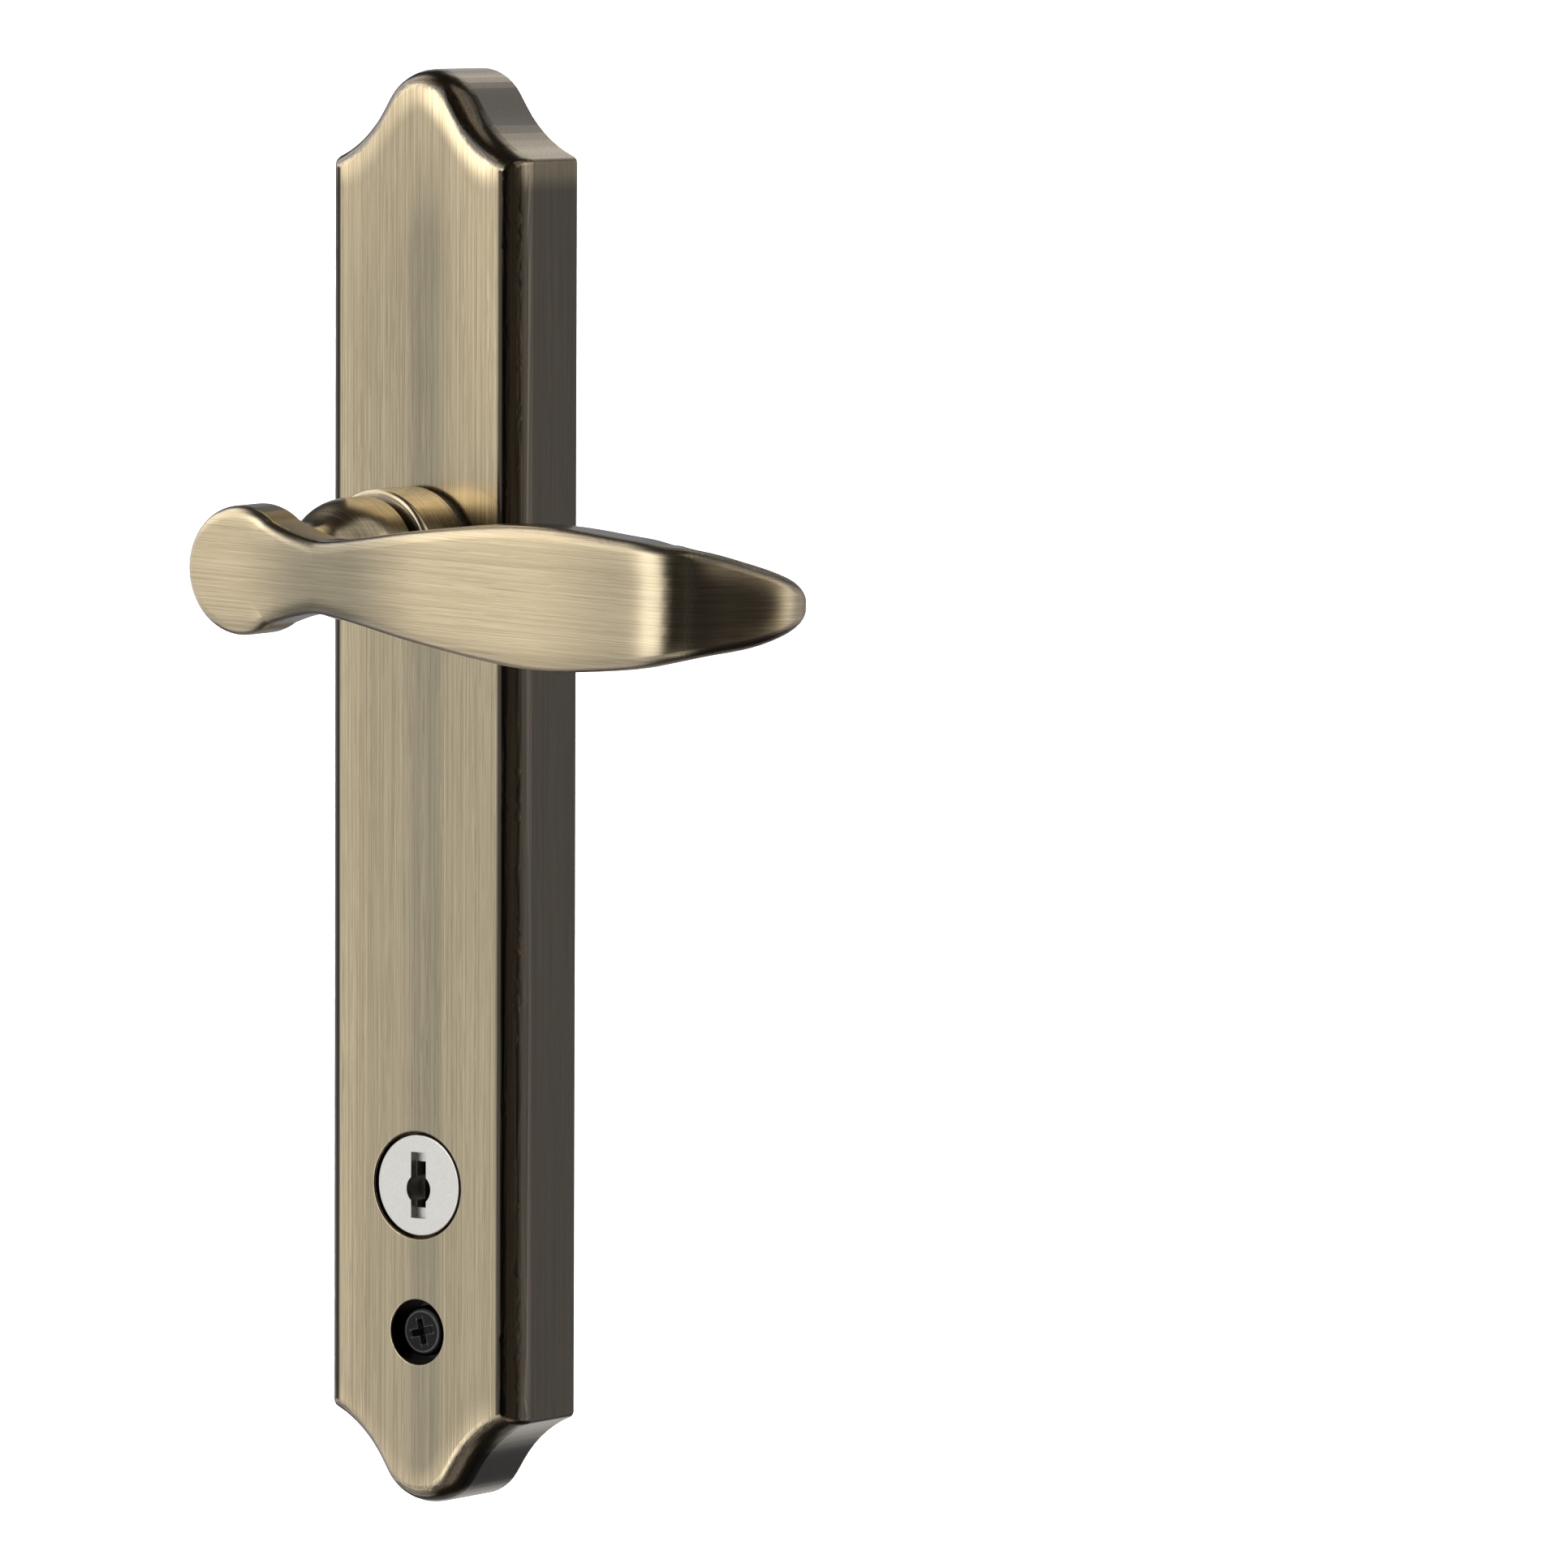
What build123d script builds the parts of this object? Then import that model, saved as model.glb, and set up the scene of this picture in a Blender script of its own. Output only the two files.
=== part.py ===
from build123d import *
import math
import os

# Storm door handle: long hollow plate, cranked lever, key cylinder, inner works.
# X runs to the lever tip, Z is up, the door face is y = 0 and the front faces -Y.
# The lever's turning axis is the Y axis of the frame. Sizes are in millimetres.

# Plate
plate_height = 216.0
plate_width = 35.24
plate_depth = 15.9
plate_rise = 35.65
front_wall = 2.8
side_wall = 2.4
moulding_inset = 2.85
moulding_depth = 5.0
apex_radius = 8.4
apex_slope = 57.2
slope_length = 2.35
cove_end_slope = 20.2
shoulder_rounding = 1.1
rib_thickness = 1.6
rib_depth = 6.0
hole_edge = 0.25
slab_share = 1.1
overlap = 0.5
through = 1.0
closeness = 0.01

# Positions along the plate, measured from the lever axis
cylinder_drop = 95.25
bolt_spacing = 44.45
rib_heights = (46.0, -46.0, -127.0)

# Tapped posts for the bolts that come through the door
post_radius = 4.2
bolt_radius = 2.1
post_base_radius = 6.4
post_base_depth = 3.0
lower_bolt_depth = 5.4

# Lever
lever_projection = 60.0
lever_nod = 1.0
lever_edge = 1.7
head_radius = 9.55
head_thickness = 8.6
waist_radius = 5.5
waist_depth = 15.6
shank_radius = 9.15
shank_front = 27.4
groove_front = 28.8
groove_width = 2.3
groove_radius = 7.9
groove_front_slope = 0.5
groove_back_slope = 0.3
collar_radius = 10.1
collar_edge = 0.9
rest_sag = 2.1
grip_straight = 71.0
bend_arcs = ((24.0, 6.0), (12.0, 16.0), (9.0, 42.0))
return_length = 17.3
edge_share = 0.46
tip_middle = 3.1

# Hub, bushing and the parts that hold the lever on
journal_radius = 7.0
running_gap = 0.05
end_play = 0.3
bushing_wall = 1.5
flange_radius = 9.5
flange_thickness = 1.2
boss_wall = 2.1
boss_depth = 6.6
tail_radius = 6.2
tail_flat = 5.0
tail_end = 1.4
socket_side = 6.5
socket_depth = 22.0
stop_thickness = 2.0
stop_radius = 12.6
tab_radius = 17.0
tab_angle = 109.0
tab_width = 4.4
tab_fold = 3.2
lug_thickness = 2.6
lug_outer = 17.6
full_lug_setback = 1.6
lug_clearance = 0.9
lever_travel = 38.0
washer_thickness = 0.7
washer_radius = 9.0
ring_thickness = 0.9
ring_width = 1.5
ring_groove_depth = 0.8
ring_mouth = 5.0
groove_play = 0.03
washer_gap = 0.1

# Return spring
wire_radius = 0.65
coil_radius = 12.3
coil_front_gap = 0.35
coil_length = 4.8
coil_extra_turns = 2
leg_reach = 2.4
fixed_lug_angle = 261.0
leg_gap = 0.02

# Key cylinder
plug_face_radius = 7.65
plug_face_setback = 0.3
plug_head_depth = 4.0
plate_hole_gap = 0.45
plug_radius = 6.0
plug_end = 1.2
shell_wall = 3.1
shell_end = 3.0
keyway_width = 2.6
keyway_height = 7.0
keyway_end = 4.6
key_recess_width = 2.8
key_recess_height = 10.0
key_recess_depth = 1.4
key_hole_radius = 2.25
key_hole_depth = 3.4
key_hole_drop = 0.6
plug_face_edge = 0.25
plug_face_gap = 0.08
plug_head_play = 0.06
drive_slot_width = 2.4
drive_slot_depth = 2.8
wafer_count = 4
wafer_thickness = 1.0
wafer_width = 5.0
wafer_pitch = 1.75
wafer_play = 0.06
wafer_first = 4.9
wafer_tip_gap = 0.1
window_width = 3.1
window_height = 6.4
side_groove_width = 5.6
side_groove_depth = 1.2
side_groove_end = 1.2
clip_thickness = 0.8
clip_radius = 6.9
clip_groove_depth = 1.0
clip_mouth = 7.6
clip_setback = 0.35

# Screws of the cylinder
ear_reach = 13.2
ear_radius = 3.4
ear_thickness = 2.0
ear_back = 6.0
ear_hole_gap = 0.2
cylinder_screw_radius = 1.5
cylinder_screw_head = 2.6
cylinder_head_height = 1.8
cylinder_head_edge = 0.7
small_cross_width = 0.8
small_cross_reach = 1.5
small_cross_depth = 1.0
screw_hole_floor = 0.6
screw_tip_gap = 0.6
screw_gap = 0.05

# Screw in the plate's face
face_hole_radius = 4.9
face_hole_depth = 3.2
face_head_radius = 3.8
face_head_height = 2.0
face_head_edge = 0.8
face_screw_radius = 1.75
face_screw_length = 4.2
face_tip_gap = 0.3
cross_width = 1.15
cross_reach = 2.3
cross_depth = 1.4
cross_turn = 14.0
cross_floor_share = 0.3

plate_middle = -plate_rise
half_width = plate_width / 2
inner_face = -(plate_depth - front_wall)
bushing_radius = journal_radius + running_gap + bushing_wall
boss_radius = bushing_radius + boss_wall
boss_end = inner_face + boss_depth
collar_back = -(plate_depth + flange_thickness + end_play)
stop_front = boss_end + end_play
stop_back = stop_front + stop_thickness
ring_front = stop_back + washer_thickness + 2 * groove_play
lug_inner = coil_radius + wire_radius + lug_clearance
upper_post = bolt_spacing / 2
cylinder_z = -cylinder_drop
collar_front = -(groove_front - groove_width)
face_screw_z = cylinder_z - bolt_spacing / 2
shell_radius = plug_radius + running_gap + shell_wall
face_seat = -plate_depth + face_hole_depth


def lean(half_size):
    # Angle a half width takes up at the inner end of the lugs.
    return math.degrees(math.asin(half_size / lug_inner))


# Angles are taken about Y, anticlockwise from +X as seen from the front
stop_margin = 1.2
rest_lug_angle = tab_angle + lean(tab_width / 2) + lean(lug_thickness / 2) + stop_margin
full_lug_angle = tab_angle - lever_travel - lean(tab_width / 2) - lean(lug_thickness / 2) - stop_margin
fixed_leg_angle = fixed_lug_angle + lean(lug_thickness / 2 + wire_radius + leg_gap)
moving_leg_angle = tab_angle - lean(tab_width / 2 + wire_radius + leg_gap)
coil_turn = fixed_leg_angle - moving_leg_angle + 360 * coil_extra_turns


def around_y(radius, y_front, y_back, x=0.0, z=0.0):
    # Round bar along Y between two depths.
    length = y_back - y_front
    bar = Cylinder(radius, length).rotate(Axis.X, 90)
    return bar.translate((x, (y_front + y_back) / 2, z))


def block(x_size, z_size, y_front, y_back, x=0.0, z=0.0):
    # Rectangular block between two depths.
    shape = Box(x_size, y_back - y_front, z_size)
    return shape.translate((x, (y_front + y_back) / 2, z))


def turned(outline):
    # Solid of revolution about the Y axis from edges drawn in the XY plane.
    return revolve(make_face(outline), axis=Axis.Y)


def plate_face():
    # Outline with an ogee end at top and bottom, centred on its own origin.
    slope = math.radians(apex_slope)
    shoulder = math.radians(cove_end_slope)
    top = plate_height / 2
    across = half_width - apex_radius * math.sin(slope) - slope_length * math.cos(slope)
    cove_radius = across / (math.sin(slope) - math.sin(shoulder))

    def on_apex(angle):
        return (apex_radius * math.sin(angle), top - apex_radius * (1 - math.cos(angle)))

    start = on_apex(slope)
    foot = (start[0] + slope_length * math.cos(slope), start[1] - slope_length * math.sin(slope))

    def on_cove(angle):
        x = foot[0] + cove_radius * (math.sin(slope) - math.sin(angle))
        return (x, foot[1] - cove_radius * (math.cos(angle) - math.cos(slope)))

    middle = on_cove((slope + shoulder) / 2)
    corner = on_cove(shoulder)
    edges = []
    for up in (1, -1):
        edges.append(ThreePointArc((-start[0], up * start[1]), (0, up * top), (start[0], up * start[1])))
        for side in (1, -1):
            edges.append(Line((side * start[0], up * start[1]), (side * foot[0], up * foot[1])))
            cove = ((side * foot[0], up * foot[1]), (side * middle[0], up * middle[1]))
            edges.append(ThreePointArc(cove[0], cove[1], (side * corner[0], up * corner[1])))
    for side in (1, -1):
        edges.append(Line((side * corner[0], corner[1]), (side * corner[0], -corner[1])))
    return make_face(edges)


def round_shoulders(body):
    # The four corners where the ogee ends meet the straight sides.
    corners = []
    for edge in body.edges().filter_by(Axis.Y):
        if abs(abs(edge.center().X) - half_width) < closeness:
            corners.append(edge)
    return fillet(corners, shoulder_rounding)


def plate_body():
    # The front edge is an elliptical moulding: a round edge stretched in depth.
    flat = Plane.XZ * plate_face()
    slab = round_shoulders(extrude(flat, moulding_inset * slab_share))
    slab = fillet(slab.faces().sort_by(Axis.Y)[0].edges(), moulding_inset)
    slab = scale(slab, by=(1, moulding_depth / moulding_inset, 1))
    slab_depth = moulding_depth * slab_share
    sides = round_shoulders(extrude(flat, plate_depth - slab_depth))
    slab = slab.translate((0, -(plate_depth - slab_depth), 0))
    return (sides + slab).translate((0, 0, plate_middle))


def stop_lugs():
    # Two lugs for the lever's travel and one that holds the fixed spring leg.
    places = (
        (rest_lug_angle, lug_inner, stop_back),
        (full_lug_angle, lug_inner + full_lug_setback, stop_back),
        (fixed_lug_angle, lug_inner, boss_end),
    )
    lugs = []
    for angle, inner, depth_end in places:
        lug = block(lug_outer - inner, lug_thickness, inner_face - overlap, depth_end, (inner + lug_outer) / 2, 0)
        lugs.append(lug.rotate(Axis.Y, -angle))
    return lugs


def front_rims(body):
    # Edges of the two open holes in the plate's front.
    rims = []
    for edge in body.edges():
        box = edge.bounding_box()
        flush = box.max.Y < -plate_depth + closeness
        round_hole = abs(box.size.X - box.size.Z) < closeness
        if flush and round_hole and box.center().Z < -bolt_spacing:
            rims.append(edge)
    return rims


def make_escutcheon():
    body = plate_body()
    hollow = offset(plate_face(), amount=-side_wall, kind=Kind.INTERSECTION)
    cavity = extrude(Plane.XZ * hollow, plate_depth - front_wall).translate((0, 0, plate_middle))
    body = body - cavity
    root = inner_face - overlap
    posts = [upper_post, -upper_post, cylinder_z + bolt_spacing / 2, face_screw_z]
    for z in posts:
        body = body + around_y(post_radius, root, 0, 0, z)
    body = body + around_y(post_base_radius, root, inner_face + post_base_depth, 0, face_screw_z)
    body = body + around_y(boss_radius, root, boss_end)
    for up in (1, -1):
        body = body + around_y(ear_radius, root, -ear_back - ear_thickness, 0, cylinder_z + up * ear_reach)
    for lug in stop_lugs():
        body = body + lug
    for z in rib_heights:
        body = body + block(plate_width - side_wall, rib_thickness, root, inner_face + rib_depth, 0, z)
    return fillet(front_rims(cut_holes(body, posts)), hole_edge)


def cut_holes(body, posts):
    # The lowest post takes a bolt from behind and the face screw from in front.
    front = -plate_depth - through
    body = body - around_y(bushing_radius, front, boss_end + through)
    for z in posts[:3]:
        body = body - around_y(bolt_radius, inner_face, through, 0, z)
    body = body - around_y(bolt_radius, -lower_bolt_depth, through, 0, face_screw_z)
    tip = face_seat + face_screw_length + face_tip_gap
    body = body - around_y(face_screw_radius + screw_gap, front, tip, 0, face_screw_z)
    body = body - around_y(face_hole_radius, front, face_seat, 0, face_screw_z)
    body = body - around_y(plug_face_radius + plate_hole_gap, front, inner_face + through, 0, cylinder_z)
    for up in (1, -1):
        z = cylinder_z + up * ear_reach
        body = body - around_y(cylinder_screw_radius + screw_gap, inner_face + screw_hole_floor, 0, 0, z)
    return body


def make_bushing():
    # Flanged sleeve; the flange shows as the black ring between plate and collar.
    sleeve = around_y(bushing_radius, -plate_depth, boss_end)
    flange = around_y(flange_radius, -plate_depth - flange_thickness, -plate_depth)
    bore = around_y(journal_radius + running_gap, -plate_depth - 2 * flange_thickness, boss_end + through)
    return sleeve + flange - bore


def front_outline():
    # Half outline of head, waist and shank, down to the floor of the groove.
    front = -lever_projection
    back = front + head_thickness
    waist = (waist_radius, front + waist_depth)
    shank = (shank_radius, front + shank_front)
    groove_floor = -groove_front + groove_front_slope
    flat = head_radius - lever_edge
    bulge = head_radius - lever_edge * (1 - math.sqrt(0.5))
    return [
        Line((0, front), (flat, front)),
        ThreePointArc(
            (flat, front),
            (bulge, front + head_radius - bulge),
            (head_radius, front + lever_edge),
        ),
        Line((head_radius, front + lever_edge), (head_radius, back - lever_edge)),
        ThreePointArc(
            (head_radius, back - lever_edge),
            (bulge, back - head_radius + bulge),
            (flat, back),
        ),
        Spline([(flat, back), waist], tangents=[(-1, 0), (0, 1)]),
        Spline([waist, shank], tangents=[(0, 1), (0, 1)]),
        Line(shank, (shank_radius, -groove_front)),
        Line((shank_radius, -groove_front), (groove_radius, groove_floor)),
        Line((groove_radius, groove_floor), (groove_radius, collar_front + overlap)),
        Line((groove_radius, collar_front + overlap), (0, collar_front + overlap)),
        Line((0, collar_front + overlap), (0, front)),
    ]


def hub_outline():
    # Half outline of collar and journal; its sloped front starts inside the groove's floor.
    slope_radius = 2 * groove_radius - (collar_radius - collar_edge)
    slope_start = collar_front - 2 * groove_back_slope
    bend = math.sqrt(0.5)
    return [
        Line((0, slope_start), (slope_radius, slope_start)),
        Line((slope_radius, slope_start), (collar_radius - collar_edge, collar_front)),
        ThreePointArc(
            (collar_radius - collar_edge, collar_front),
            (collar_radius - collar_edge * (1 - bend), collar_front + collar_edge * (1 - bend)),
            (collar_radius, collar_front + collar_edge),
        ),
        Line((collar_radius, collar_front + collar_edge), (collar_radius, collar_back)),
        Line((collar_radius, collar_back), (journal_radius, collar_back)),
        Line((journal_radius, collar_back), (journal_radius, stop_front)),
        Line((journal_radius, stop_front), (0, stop_front)),
        Line((0, stop_front), (0, slope_start)),
    ]


def grip_stations():
    # Along the grip: distance run, rise of the middle, half height and thickness of the section.
    turn_end = grip_straight + bend_run()
    tip = turn_end + return_length
    return [
        (0.0, 0.0, 9.0, head_thickness),
        (3.0, 0.0, 8.7, head_thickness),
        (5.0, 0.0, 7.95, head_thickness),
        (7.0, 0.0, 7.15, head_thickness),
        (9.0, 0.0, 6.45, head_thickness),
        (11.5, 0.0, 5.8, 8.5),
        (14.0, 0.0, 5.4, 8.5),
        (17.0, 0.0, 5.6, 8.5),
        (20.0, 0.0, 6.05, 8.4),
        (24.0, 0.0, 6.75, 8.4),
        (30.0, 0.0, 7.85, 8.3),
        (36.0, 0.0, 8.75, 8.2),
        (43.0, 0.0, 9.65, 8.1),
        (50.0, 0.0, 10.3, 8.0),
        (56.0, 0.0, 10.45, 7.9),
        (62.0, 0.1, 10.15, 7.8),
        (68.0, 0.2, 9.6, 7.7),
        (grip_straight, 0.3, 9.3, 7.6),
        (grip_straight + 0.25 * bend_run(), 0.4, 8.9, 7.5),
        (grip_straight + 0.5 * bend_run(), 0.55, 8.45, 7.4),
        (grip_straight + 0.75 * bend_run(), 0.8, 8.1, 7.3),
        (turn_end, 0.85, 7.65, 7.2),
        (turn_end + 0.22 * return_length, 0.65, 6.95, 7.0),
        (turn_end + 0.42 * return_length, 0.4, 6.2, 6.8),
        (turn_end + 0.6 * return_length, 0.3, 5.35, 6.4),
        (turn_end + 0.76 * return_length, 0.25, 4.4, 5.6),
        (turn_end + 0.89 * return_length, 0.2, 3.4, 4.3),
        (turn_end + 0.97 * return_length, 0.15, 2.3, 2.8),
        (tip, 0.15, 1.5, 1.8),
    ]


def bend_run():
    # Length of the bend along the grip's front line.
    return sum(radius * math.radians(turn) for radius, turn in bend_arcs)


def grip_place(run):
    # Point on the grip's front line and the direction it runs in.
    x = min(run, grip_straight)
    y = -lever_projection
    angle = 0.0
    left = max(0.0, run - grip_straight)
    for radius, turn in bend_arcs:
        part = min(left, radius * math.radians(turn))
        end = angle + part / radius
        x += radius * (math.sin(end) - math.sin(angle))
        y += radius * (math.cos(angle) - math.cos(end))
        angle = end
        left -= part
    return x + left * math.cos(angle), y + left * math.sin(angle), angle


def make_grip():
    # One smooth skin through rounded sections, neck to paddle to returned tip.
    # Its front runs flush with the head's; only the tip closes round a middle line.
    sections = []
    for run, rise, half_height, thickness in grip_stations():
        x, y, angle = grip_place(run)
        middle = max(thickness / 2, tip_middle)
        origin = (x - middle * math.sin(angle), y + middle * math.cos(angle), rise)
        ahead = (math.cos(angle), math.sin(angle), 0)
        plane = Plane(origin=origin, x_dir=(0, 0, 1), z_dir=ahead)
        corner = min(lever_edge, edge_share * thickness, edge_share * 2 * half_height)
        sections.append(plane * RectangleRounded(2 * half_height, thickness, corner))
    return loft(sections)


def hub_tail():
    # Two flats behind the journal carry the stop plate.
    tail = around_y(tail_radius, stop_front - overlap, -tail_end)
    tail = tail & block(4 * tail_radius, 2 * tail_flat, stop_front - through, 0)
    ring_back = ring_front + ring_thickness + 2 * groove_play
    ring_cut = around_y(tail_radius + through, ring_front, ring_back)
    ring_cut = ring_cut - around_y(tail_radius - ring_groove_depth, ring_front, ring_back)
    return tail - ring_cut


def make_lever():
    # The exposed part hangs forward a little; collar, journal and tail stay on the axis.
    front = turned(front_outline()) + make_grip()
    front = front.translate((0, -collar_front, 0)).rotate(Axis.X, lever_nod).translate((0, collar_front, 0))
    lever = front + turned(hub_outline()) + hub_tail()
    socket = block(socket_side, socket_side, -tail_end - socket_depth, 0)
    lever = lever - socket
    return lever.rotate(Axis.Y, rest_sag)


def flat_hole(y_front, y_back):
    # Hole with two flats that fits the hub's tail.
    hole = around_y(tail_radius + running_gap, y_front, y_back)
    return hole & block(4 * tail_radius, 2 * (tail_flat + running_gap), y_front, y_back)


def make_stop_plate():
    # Flat disc with one tab; the tab's end is folded forward onto the spring leg.
    plate = around_y(stop_radius, stop_front, stop_back)
    reach = tab_radius - stop_radius + 4 * overlap
    tab = block(reach, tab_width, stop_front, stop_back, tab_radius - reach / 2, 0)
    fold_reach = tab_radius - lug_inner
    fold = block(fold_reach, tab_width, stop_front - tab_fold, stop_back, tab_radius - fold_reach / 2, 0)
    plate = plate + (tab + fold).rotate(Axis.Y, -tab_angle)
    return plate - flat_hole(stop_front - through, stop_back + through).rotate(Axis.Y, rest_sag)


def make_hub_washer():
    washer = around_y(washer_radius, stop_back, stop_back + washer_thickness)
    return washer - around_y(tail_radius + washer_gap, stop_back - through, 0)


def make_retaining_ring():
    # Snap ring, open at the bottom.
    inner = tail_radius - ring_groove_depth + groove_play
    y_front = ring_front + groove_play
    y_back = y_front + ring_thickness
    ring = around_y(tail_radius + ring_width, y_front, y_back) - around_y(inner, y_front, y_back)
    gap = block(ring_mouth, 2 * tail_radius, y_front, y_back, 0, -tail_radius)
    return (ring - gap).rotate(Axis.Y, rest_sag)


def make_return_spring():
    # Torsion spring round the boss: one leg on the plate's lug, one on the tab.
    y_start = inner_face + coil_front_gap + wire_radius
    y_end = y_start + coil_length
    turns = coil_turn / 360
    path = Helix(pitch=coil_length / turns, height=coil_length, radius=coil_radius)
    section = Plane(origin=path @ 0, z_dir=path % 0) * Circle(wire_radius)
    coil = sweep(section, path=path, is_frenet=True)
    coil = coil.rotate(Axis.X, -90).translate((0, y_start, 0))
    leg = Cylinder(wire_radius, leg_reach).rotate(Axis.Y, 90)
    leg = leg.translate((coil_radius + leg_reach / 2, 0, 0))
    leg = leg + Sphere(wire_radius).translate((coil_radius, 0, 0))
    fixed_leg = leg.translate((0, y_start, 0))
    moving_leg = leg.rotate(Axis.Y, coil_turn).translate((0, y_end, 0))
    spring = coil + fixed_leg + moving_leg
    return spring.rotate(Axis.Y, -fixed_leg_angle)


def make_cylinder_shell():
    shell = around_y(shell_radius, inner_face, -shell_end)
    ear_front = -ear_back - ear_thickness
    ears = block(2 * ear_radius, 2 * ear_reach, ear_front, -ear_back)
    for up in (1, -1):
        ears = ears + around_y(ear_radius, ear_front, -ear_back, 0, up * ear_reach)
    shell = shell + ears
    for up in (1, -1):
        shell = shell - around_y(cylinder_screw_radius + ear_hole_gap, inner_face, 0, 0, up * ear_reach)
    head_end = -plate_depth + plug_face_setback + plug_head_depth
    shell = shell - around_y(plug_radius + running_gap, inner_face, 0)
    shell = shell - around_y(plug_face_radius + plug_face_gap, inner_face, head_end + plug_head_play)
    groove_reach = 2 * (plug_radius + side_groove_depth)
    groove = block(side_groove_width, groove_reach, head_end, -shell_end - side_groove_end)
    return (shell - groove).translate((0, 0, cylinder_z))


def wafer_places():
    # Depth of each wafer's front side.
    first = -plate_depth + plug_face_setback + wafer_first
    return [first + n * wafer_pitch for n in range(wafer_count)]


def make_plug():
    face_y = -plate_depth + plug_face_setback
    ahead = face_y - through
    head_end = face_y + plug_head_depth
    plug = around_y(plug_face_radius, face_y, head_end)
    plug = fillet(plug.faces().sort_by(Axis.Y)[0].edges(), plug_face_edge)
    plug = plug + around_y(plug_radius, head_end - overlap, -plug_end)
    plug = plug - block(key_recess_width, key_recess_height, ahead, face_y + key_recess_depth)
    plug = plug - block(keyway_width, keyway_height, ahead, -keyway_end)
    plug = plug - around_y(key_hole_radius, ahead, face_y + key_hole_depth, 0, -key_hole_drop)
    for y in wafer_places():
        slot = block(wafer_width + 2 * wafer_play, 3 * plug_radius, y - wafer_play, y + wafer_thickness + wafer_play)
        plug = plug - (slot & around_y(plug_radius + overlap, head_end, 0))
    plug = plug - block(2 * plug_radius, drive_slot_width, -plug_end - drive_slot_depth, 0)
    clip_y = -shell_end + clip_setback
    clip_back = clip_y + clip_thickness + 2 * groove_play
    cut = around_y(plug_radius + through, clip_y, clip_back)
    cut = cut - around_y(plug_radius - clip_groove_depth, clip_y, clip_back)
    return (plug - cut).translate((0, 0, cylinder_z))


def make_wafer(y):
    # Flat tumbler with a window for the key, its ends curved like the plug.
    y_back = y + wafer_thickness
    wafer = block(wafer_width, 3 * plug_radius, y, y_back)
    wafer = wafer & around_y(plug_radius - wafer_tip_gap, y, y_back)
    return (wafer - block(window_width, window_height, y, y_back)).translate((0, 0, cylinder_z))


def make_plug_clip():
    # Snap clip, open at the bottom.
    y_front = -shell_end + clip_setback + groove_play
    y_back = y_front + clip_thickness
    clip = around_y(clip_radius, y_front, y_back)
    clip = clip - around_y(plug_radius - clip_groove_depth + groove_play, y_front, y_back)
    clip = clip - block(clip_mouth, 2 * clip_radius, y_front, y_back, 0, -clip_radius)
    return clip.translate((0, 0, cylinder_z))


def cross_recess(y_face, width, reach, depth):
    # Tapered cross cut into a screw head.
    arm = block(2 * reach, width, y_face - through, y_face + depth)
    cross = arm + arm.rotate(Axis.Y, 90)
    taper = Cone(reach * cross_floor_share, reach + overlap, depth + through).rotate(Axis.X, 90)
    return cross & taper.translate((0, y_face + (depth - through) / 2, 0))


def make_cylinder_screw(up):
    y_seat = -ear_back
    y_top = y_seat + cylinder_head_height
    head = around_y(cylinder_screw_head, y_seat, y_top)
    head = fillet(head.faces().sort_by(Axis.Y)[-1].edges(), cylinder_head_edge)
    tip = inner_face + screw_hole_floor + screw_tip_gap
    shank = around_y(cylinder_screw_radius, tip, y_seat + overlap)
    recess = cross_recess(0, small_cross_width, small_cross_reach, small_cross_depth)
    recess = recess.rotate(Axis.X, 180).translate((0, y_top, 0))
    screw = head + shank - recess
    return screw.translate((0, 0, cylinder_z + up * ear_reach))


def make_face_screw():
    y_top = face_seat - face_head_height
    head = around_y(face_head_radius, y_top, face_seat)
    head = fillet(head.faces().sort_by(Axis.Y)[0].edges(), face_head_edge)
    shank = around_y(face_screw_radius, face_seat - overlap, face_seat + face_screw_length)
    recess = cross_recess(y_top, cross_width, cross_reach, cross_depth).rotate(Axis.Y, -cross_turn)
    return (head + shank - recess).translate((0, 0, face_screw_z))


def save(shape, name):
    shape.label = name
    export_step(shape, "parts/" + name + ".step")
    print(name, "solids", len(shape.solids()), "volume", round(shape.volume, 1), "valid", shape.is_valid)


def main():
    os.makedirs("parts", exist_ok=True)
    save(make_escutcheon(), "escutcheon")
    save(make_lever(), "lever")
    save(make_bushing(), "hub_bushing")
    save(make_stop_plate(), "stop_plate")
    save(make_hub_washer(), "hub_washer")
    save(make_retaining_ring(), "retaining_ring")
    save(make_return_spring(), "return_spring")
    save(make_cylinder_shell(), "cylinder_shell")
    save(make_plug(), "cylinder_plug")
    for n, y in enumerate(wafer_places(), 1):
        save(make_wafer(y), "wafer_" + str(n))
    save(make_plug_clip(), "plug_clip")
    save(make_cylinder_screw(1), "cylinder_screw_top")
    save(make_cylinder_screw(-1), "cylinder_screw_bottom")
    save(make_face_screw(), "face_screw")


main()
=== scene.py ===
import bpy
import math
from mathutils import Matrix, Vector


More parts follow.
